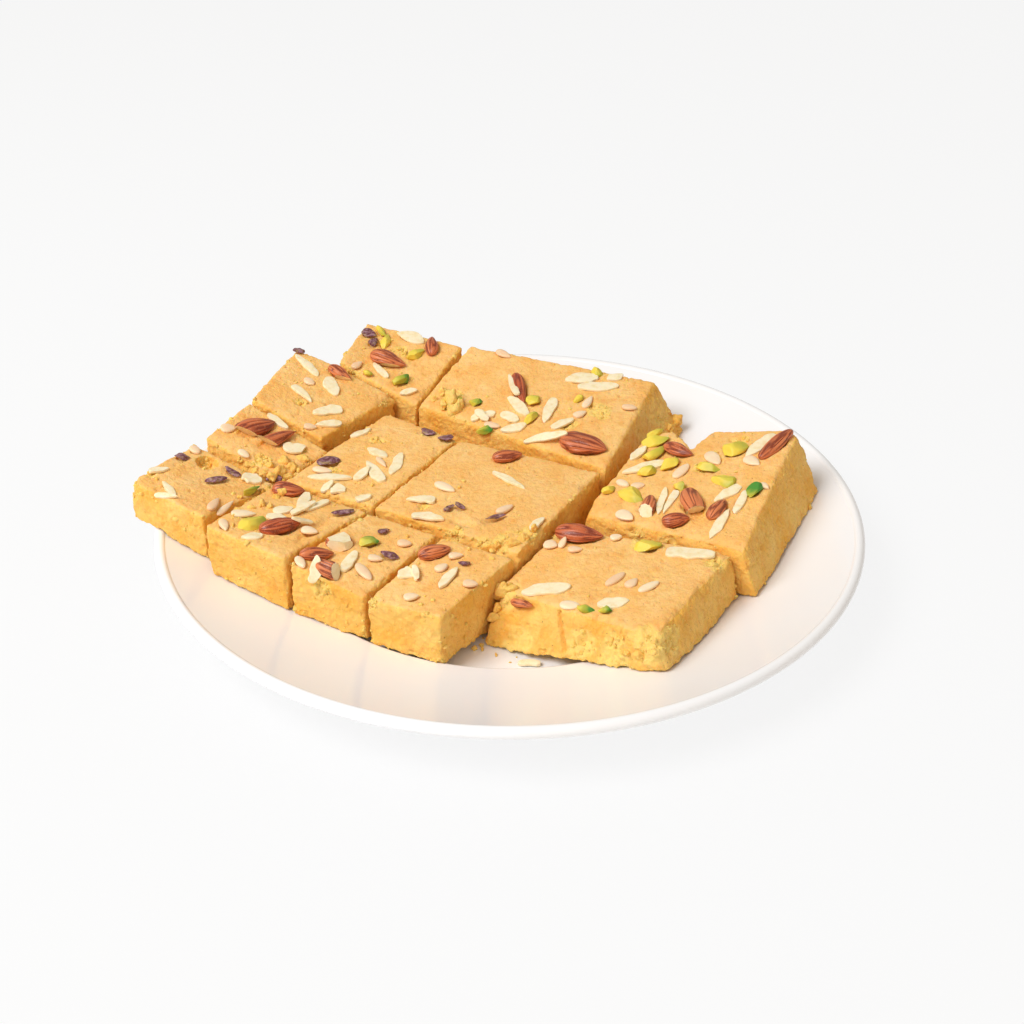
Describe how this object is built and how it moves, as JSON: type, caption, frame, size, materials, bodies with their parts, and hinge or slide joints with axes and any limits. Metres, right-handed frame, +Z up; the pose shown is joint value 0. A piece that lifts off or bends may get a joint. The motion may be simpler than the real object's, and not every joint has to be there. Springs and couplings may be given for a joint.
{
  "type": "plate of cut sweet",
  "caption": "Round white dinner plate heaped with one layer of hand-cut blocks of flaky golden sweet, studded with almonds, slivers, melon seeds and pistachio.",
  "frame": {"origin": "the plate's axis, on the table under the foot ring", "axes": "+Z up along the plate's axis; -Y towards the viewer's side of the heap, +X to the viewer's right"},
  "size_m": [0.2769, 0.27, 0.0476],
  "materials": {
    "glaze": "gloss white glaze",
    "sweet": "dry, flaky and matt, golden",
    "almond_skin": "satin brown skin, wrinkled lengthwise",
    "almond_flesh": "satin ivory",
    "melon_seed": "matt pale peach",
    "pistachio": "oily yellow green"
  },
  "bodies": {
    "plate": {"plate": "glaze"},
    "fallen_sliver": {"loose_sliver": "almond_flesh"},
    "far_left": {"far_left_block": "sweet", "far_left_slivers": "almond_flesh", "far_left_seeds": "melon_seed", "far_left_pistachios": "pistachio"},
    "front_left": {"front_left_block": "sweet", "front_left_almonds": "almond_skin", "front_left_slivers": "almond_flesh", "front_left_seeds": "melon_seed", "front_left_pistachios": "pistachio"},
    "front": {"front_block": "sweet", "front_almonds": "almond_skin", "front_slivers": "almond_flesh", "front_seeds": "melon_seed", "front_pistachios": "pistachio"},
    "front_mid": {"front_mid_block": "sweet", "front_mid_almonds": "almond_skin", "front_mid_slivers": "almond_flesh", "front_mid_seeds": "melon_seed"},
    "front_right": {"front_right_block": "sweet", "front_right_almonds": "almond_skin", "front_right_slivers": "almond_flesh", "front_right_seeds": "melon_seed", "front_right_pistachios": "pistachio"},
    "right": {"right_block": "sweet", "right_almonds": "almond_skin", "right_slivers": "almond_flesh", "right_seeds": "melon_seed", "right_pistachios": "pistachio"},
    "middle": {"middle_block": "sweet", "middle_almonds": "almond_skin", "middle_slivers": "almond_flesh", "middle_seeds": "melon_seed", "middle_pistachios": "pistachio"},
    "mid_left": {"mid_left_block": "sweet", "mid_left_slivers": "almond_flesh", "mid_left_seeds": "melon_seed", "mid_left_pistachios": "pistachio"},
    "left": {"left_block": "sweet", "left_almonds": "almond_skin", "left_slivers": "almond_flesh", "left_seeds": "melon_seed"},
    "back_left": {"back_left_block": "sweet", "back_left_almonds": "almond_skin", "back_left_slivers": "almond_flesh", "back_left_seeds": "melon_seed", "back_left_pistachios": "pistachio"},
    "back": {"back_block": "sweet", "back_almonds": "almond_skin", "back_slivers": "almond_flesh", "back_seeds": "melon_seed", "back_pistachios": "pistachio"},
    "back_right": {"back_right_block": "sweet", "back_right_almonds": "almond_skin", "back_right_slivers": "almond_flesh", "back_right_seeds": "melon_seed", "back_right_pistachios": "pistachio"}
  },
  "joints": [
    {"name": "fallen_sliver_lift", "type": "slide", "parent": "plate", "child": "fallen_sliver", "axis": [0, 0, 1], "range_m": [0, 0.06]},
    {"name": "far_left_lift", "type": "slide", "parent": "plate", "child": "far_left", "axis": [0, 0, 1], "range_m": [0, 0.06]},
    {"name": "front_left_lift", "type": "slide", "parent": "plate", "child": "front_left", "axis": [0, 0, 1], "range_m": [0, 0.06]},
    {"name": "front_lift", "type": "slide", "parent": "plate", "child": "front", "axis": [0, 0, 1], "range_m": [0, 0.06]},
    {"name": "front_mid_lift", "type": "slide", "parent": "plate", "child": "front_mid", "axis": [0, 0, 1], "range_m": [0, 0.06]},
    {"name": "front_right_lift", "type": "slide", "parent": "plate", "child": "front_right", "axis": [0, 0, 1], "range_m": [0, 0.06]},
    {"name": "right_lift", "type": "slide", "parent": "plate", "child": "right", "axis": [0, 0, 1], "range_m": [0, 0.06]},
    {"name": "middle_lift", "type": "slide", "parent": "plate", "child": "middle", "axis": [0, 0, 1], "range_m": [0, 0.06]},
    {"name": "mid_left_lift", "type": "slide", "parent": "plate", "child": "mid_left", "axis": [0, 0, 1], "range_m": [0, 0.06]},
    {"name": "left_lift", "type": "slide", "parent": "plate", "child": "left", "axis": [0, 0, 1], "range_m": [0, 0.06]},
    {"name": "back_left_lift", "type": "slide", "parent": "plate", "child": "back_left", "axis": [0, 0, 1], "range_m": [0, 0.06]},
    {"name": "back_lift", "type": "slide", "parent": "plate", "child": "back", "axis": [0, 0, 1], "range_m": [0, 0.06]},
    {"name": "back_right_lift", "type": "slide", "parent": "plate", "child": "back_right", "axis": [0, 0, 1], "range_m": [0, 0.06]}
  ]
}
